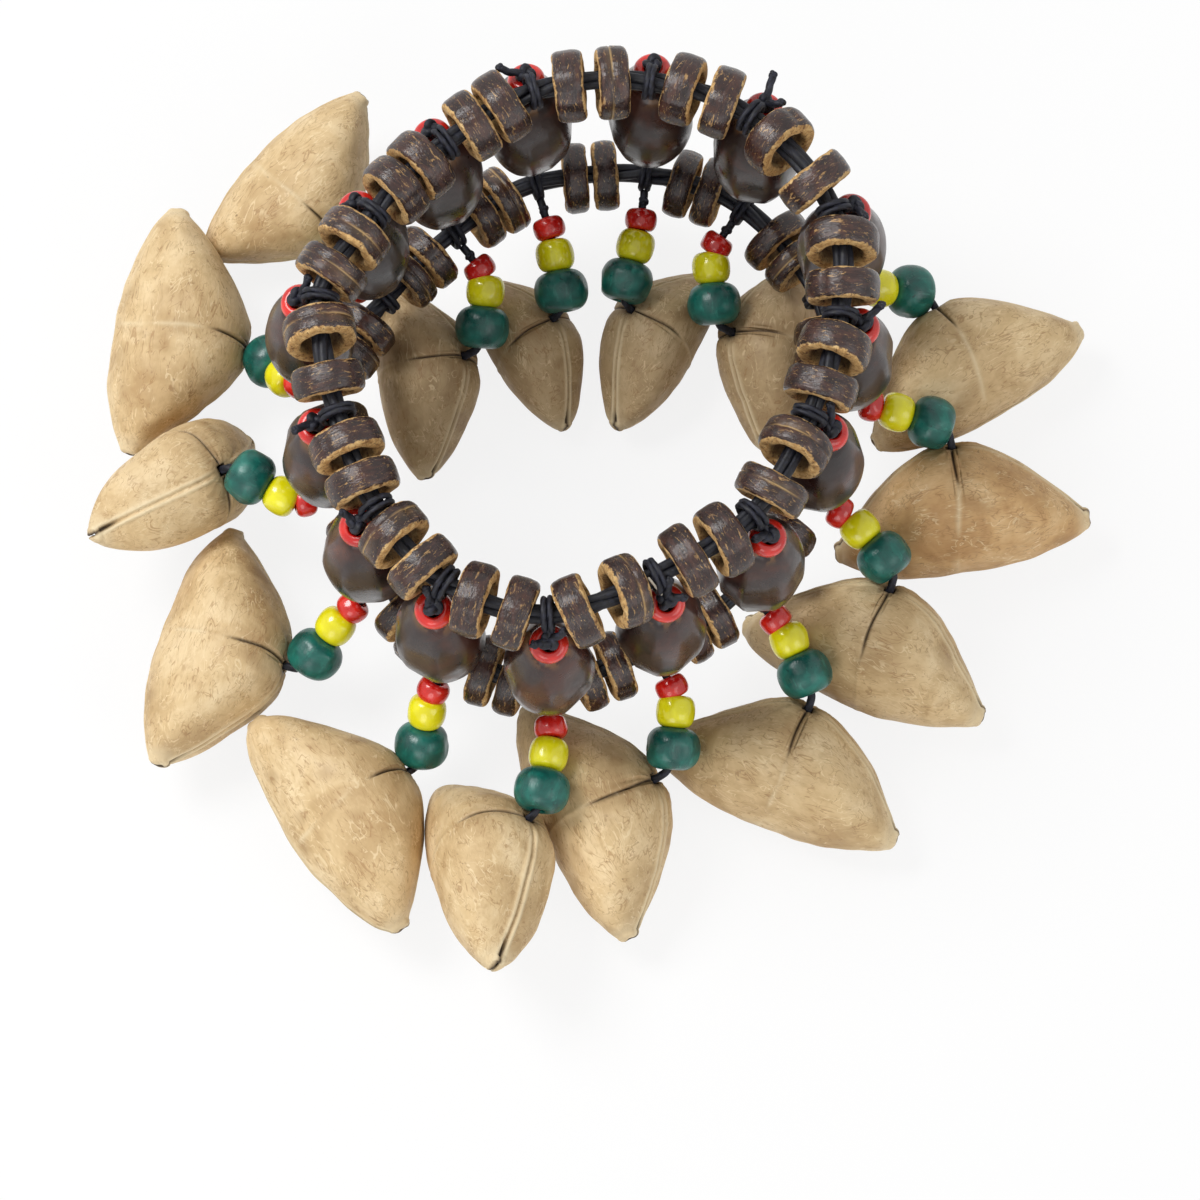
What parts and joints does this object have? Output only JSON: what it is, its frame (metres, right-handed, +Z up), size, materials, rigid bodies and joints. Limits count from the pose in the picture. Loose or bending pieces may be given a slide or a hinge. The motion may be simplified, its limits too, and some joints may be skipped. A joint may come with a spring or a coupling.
{
  "type": "nutshell shaker bracelet",
  "caption": "Stretchy shaker bracelet: a ring of dark barrel beads between coconut-disc edges, with a hollow nutshell on a short red, yellow and green bead drop at every tie.",
  "frame": {"origin": "middle of the ring at table height, where the lowest nutshells rest", "axes": "+Z up along the wrist opening; +Y away from the viewer; +X to the right in the picture's view"},
  "size_m": [0.1172, 0.1077, 0.0497],
  "materials": {
    "elastic": "matte black elastic strands",
    "cord": "waxed navy-black cord",
    "coconut": "polished coconut shell",
    "red_glass": "glossy red glass",
    "dark_wood": "dark lacquer",
    "beads": "glossy red and yellow glass and painted green wood on cord",
    "nutshell": "raw dry nutshell"
  },
  "bodies": {
    "band": {"upper_elastic": "elastic", "lower_elastic": "elastic", "upper_discs": "coconut", "lower_discs": "coconut", "upper_red_beads": "red_glass", "tie_cords": "cord"},
    "barrel_1": {"barrel_1": "dark_wood"},
    "barrel_2": {"barrel_2": "dark_wood"},
    "barrel_3": {"barrel_3": "dark_wood"},
    "barrel_4": {"barrel_4": "dark_wood"},
    "barrel_5": {"barrel_5": "dark_wood"},
    "barrel_6": {"barrel_6": "dark_wood"},
    "barrel_7": {"barrel_7": "dark_wood"},
    "barrel_8": {"barrel_8": "dark_wood"},
    "barrel_9": {"barrel_9": "dark_wood"},
    "barrel_10": {"barrel_10": "dark_wood"},
    "barrel_11": {"barrel_11": "dark_wood"},
    "barrel_12": {"barrel_12": "dark_wood"},
    "barrel_13": {"barrel_13": "dark_wood"},
    "barrel_14": {"barrel_14": "dark_wood"},
    "barrel_15": {"barrel_15": "dark_wood"},
    "drop_1": {"bead_drop_1": "beads", "nutshell_1": "nutshell"},
    "drop_2": {"bead_drop_2": "beads", "nutshell_2": "nutshell"},
    "drop_3": {"bead_drop_3": "beads", "nutshell_3": "nutshell"},
    "drop_4": {"bead_drop_4": "beads", "nutshell_4": "nutshell"},
    "drop_5": {"bead_drop_5": "beads", "nutshell_5": "nutshell"},
    "drop_6": {"bead_drop_6": "beads", "nutshell_6": "nutshell"},
    "drop_7": {"bead_drop_7": "beads", "nutshell_7": "nutshell"},
    "drop_8": {"bead_drop_8": "beads", "nutshell_8": "nutshell"},
    "drop_9": {"bead_drop_9": "beads", "nutshell_9": "nutshell"},
    "drop_10": {"bead_drop_10": "beads", "nutshell_10": "nutshell"},
    "drop_11": {"bead_drop_11": "beads", "nutshell_11": "nutshell"},
    "drop_12": {"bead_drop_12": "beads", "nutshell_12": "nutshell"},
    "drop_13": {"bead_drop_13": "beads", "nutshell_13": "nutshell"},
    "drop_14": {"bead_drop_14": "beads", "nutshell_14": "nutshell"},
    "drop_15": {"bead_drop_15": "beads", "nutshell_15": "nutshell"}
  },
  "joints": [
    {"name": "barrel_1_spin", "type": "hinge", "parent": "band", "child": "barrel_1", "pos_m": [-0.00622, 0.03085, 0.0305], "axis": [0, 0, 1], "continuous": true},
    {"name": "barrel_2_spin", "type": "hinge", "parent": "band", "child": "barrel_2", "pos_m": [-0.01662, 0.02434, 0.0305], "axis": [0, 0, 1], "continuous": true},
    {"name": "barrel_3_spin", "type": "hinge", "parent": "band", "child": "barrel_3", "pos_m": [-0.0249, 0.01576, 0.0305], "axis": [0, 0, 1], "continuous": true},
    {"name": "barrel_4_spin", "type": "hinge", "parent": "band", "child": "barrel_4", "pos_m": [-0.03109, 0.00493, 0.0305], "axis": [0, 0, 1], "continuous": true},
    {"name": "barrel_5_spin", "type": "hinge", "parent": "band", "child": "barrel_5", "pos_m": [-0.02902, -0.00932, 0.0305], "axis": [0, 0, 1], "continuous": true},
    {"name": "barrel_6_spin", "type": "hinge", "parent": "band", "child": "barrel_6", "pos_m": [-0.02431, -0.02074, 0.0305], "axis": [0, 0, 1], "continuous": true},
    {"name": "barrel_7_spin", "type": "hinge", "parent": "band", "child": "barrel_7", "pos_m": [-0.01609, -0.02992, 0.0305], "axis": [0, 0, 1], "continuous": true},
    {"name": "barrel_8_spin", "type": "hinge", "parent": "band", "child": "barrel_8", "pos_m": [-0.00384, -0.03374, 0.0305], "axis": [0, 0, 1], "continuous": true},
    {"name": "barrel_9_spin", "type": "hinge", "parent": "band", "child": "barrel_9", "pos_m": [0.00874, -0.02917, 0.0305], "axis": [0, 0, 1], "continuous": true},
    {"name": "barrel_10_spin", "type": "hinge", "parent": "band", "child": "barrel_10", "pos_m": [0.01985, -0.02179, 0.0305], "axis": [0, 0, 1], "continuous": true},
    {"name": "barrel_11_spin", "type": "hinge", "parent": "band", "child": "barrel_11", "pos_m": [0.02672, -0.00985, 0.0305], "axis": [0, 0, 1], "continuous": true},
    {"name": "barrel_12_spin", "type": "hinge", "parent": "band", "child": "barrel_12", "pos_m": [0.03036, 0.00226, 0.0305], "axis": [0, 0, 1], "continuous": true},
    {"name": "barrel_13_spin", "type": "hinge", "parent": "band", "child": "barrel_13", "pos_m": [0.02964, 0.01555, 0.0305], "axis": [0, 0, 1], "continuous": true},
    {"name": "barrel_14_spin", "type": "hinge", "parent": "band", "child": "barrel_14", "pos_m": [0.02, 0.02747, 0.0305], "axis": [0, 0, 1], "continuous": true},
    {"name": "barrel_15_spin", "type": "hinge", "parent": "band", "child": "barrel_15", "pos_m": [0.00776, 0.03204, 0.0305], "axis": [0, 0, 1], "continuous": true},
    {"name": "drop_1_swing", "type": "hinge", "parent": "band", "child": "drop_1", "pos_m": [-0.00469, 0.02603, 0.01473], "axis": [-0.5, -0.866, 0], "range_deg": [0, 40]},
    {"name": "drop_2_swing", "type": "hinge", "parent": "band", "child": "drop_2", "pos_m": [-0.01345, 0.02044, 0.0146], "axis": [-0.766, -0.6428, 0], "range_deg": [0, 40]},
    {"name": "drop_3_swing", "type": "hinge", "parent": "band", "child": "drop_3", "pos_m": [-0.02545, 0.01617, 0.01353], "axis": [1, 0, 0], "range_deg": [0, 40]},
    {"name": "drop_4_swing", "type": "hinge", "parent": "band", "child": "drop_4", "pos_m": [-0.0318, 0.00505, 0.01357], "axis": [0.1736, 0.9848, 0], "range_deg": [0, 40]},
    {"name": "drop_5_swing", "type": "hinge", "parent": "band", "child": "drop_5", "pos_m": [-0.0303, -0.00967, 0.01585], "axis": [-0.766, 0.6428, 0], "range_deg": [0, 40]},
    {"name": "drop_6_swing", "type": "hinge", "parent": "band", "child": "drop_6", "pos_m": [-0.02517, -0.02127, 0.01405], "axis": [-0.766, 0.6428, 0], "range_deg": [-20, 40]},
    {"name": "drop_7_swing", "type": "hinge", "parent": "band", "child": "drop_7", "pos_m": [-0.01647, -0.03051, 0.01354], "axis": [-0.9848, 0.1736, 0], "range_deg": [0, 40]},
    {"name": "drop_8_swing", "type": "hinge", "parent": "band", "child": "drop_8", "pos_m": [-0.00379, -0.03509, 0.01552], "axis": [-0.9848, -0.1736, 0], "range_deg": [0, 40]},
    {"name": "drop_9_swing", "type": "hinge", "parent": "band", "child": "drop_9", "pos_m": [0.0093, -0.03028, 0.01469], "axis": [-0.6428, -0.766, 0], "range_deg": [0, 40]},
    {"name": "drop_10_swing", "type": "hinge", "parent": "band", "child": "drop_10", "pos_m": [0.02078, -0.02266, 0.01481], "axis": [-0.6428, -0.766, 0], "range_deg": [0, 40]},
    {"name": "drop_11_swing", "type": "hinge", "parent": "band", "child": "drop_11", "pos_m": [0.02793, -0.01038, 0.01506], "axis": [-0.1736, -0.9848, 0], "range_deg": [0, 40]},
    {"name": "drop_12_swing", "type": "hinge", "parent": "band", "child": "drop_12", "pos_m": [0.03164, 0.00211, 0.0149], "axis": [0, -1, 0], "range_deg": [0, 40]},
    {"name": "drop_13_swing", "type": "hinge", "parent": "band", "child": "drop_13", "pos_m": [0.03058, 0.01593, 0.01405], "axis": [0.5, -0.866, 0], "range_deg": [-20, 40]},
    {"name": "drop_14_swing", "type": "hinge", "parent": "band", "child": "drop_14", "pos_m": [0.01698, 0.02346, 0.0146], "axis": [-0.766, 0.6428, 0], "range_deg": [0, 35]},
    {"name": "drop_15_swing", "type": "hinge", "parent": "band", "child": "drop_15", "pos_m": [0.00712, 0.02699, 0.01486], "axis": [-0.766, 0.6428, 0], "range_deg": [-30, 0]}
  ]
}
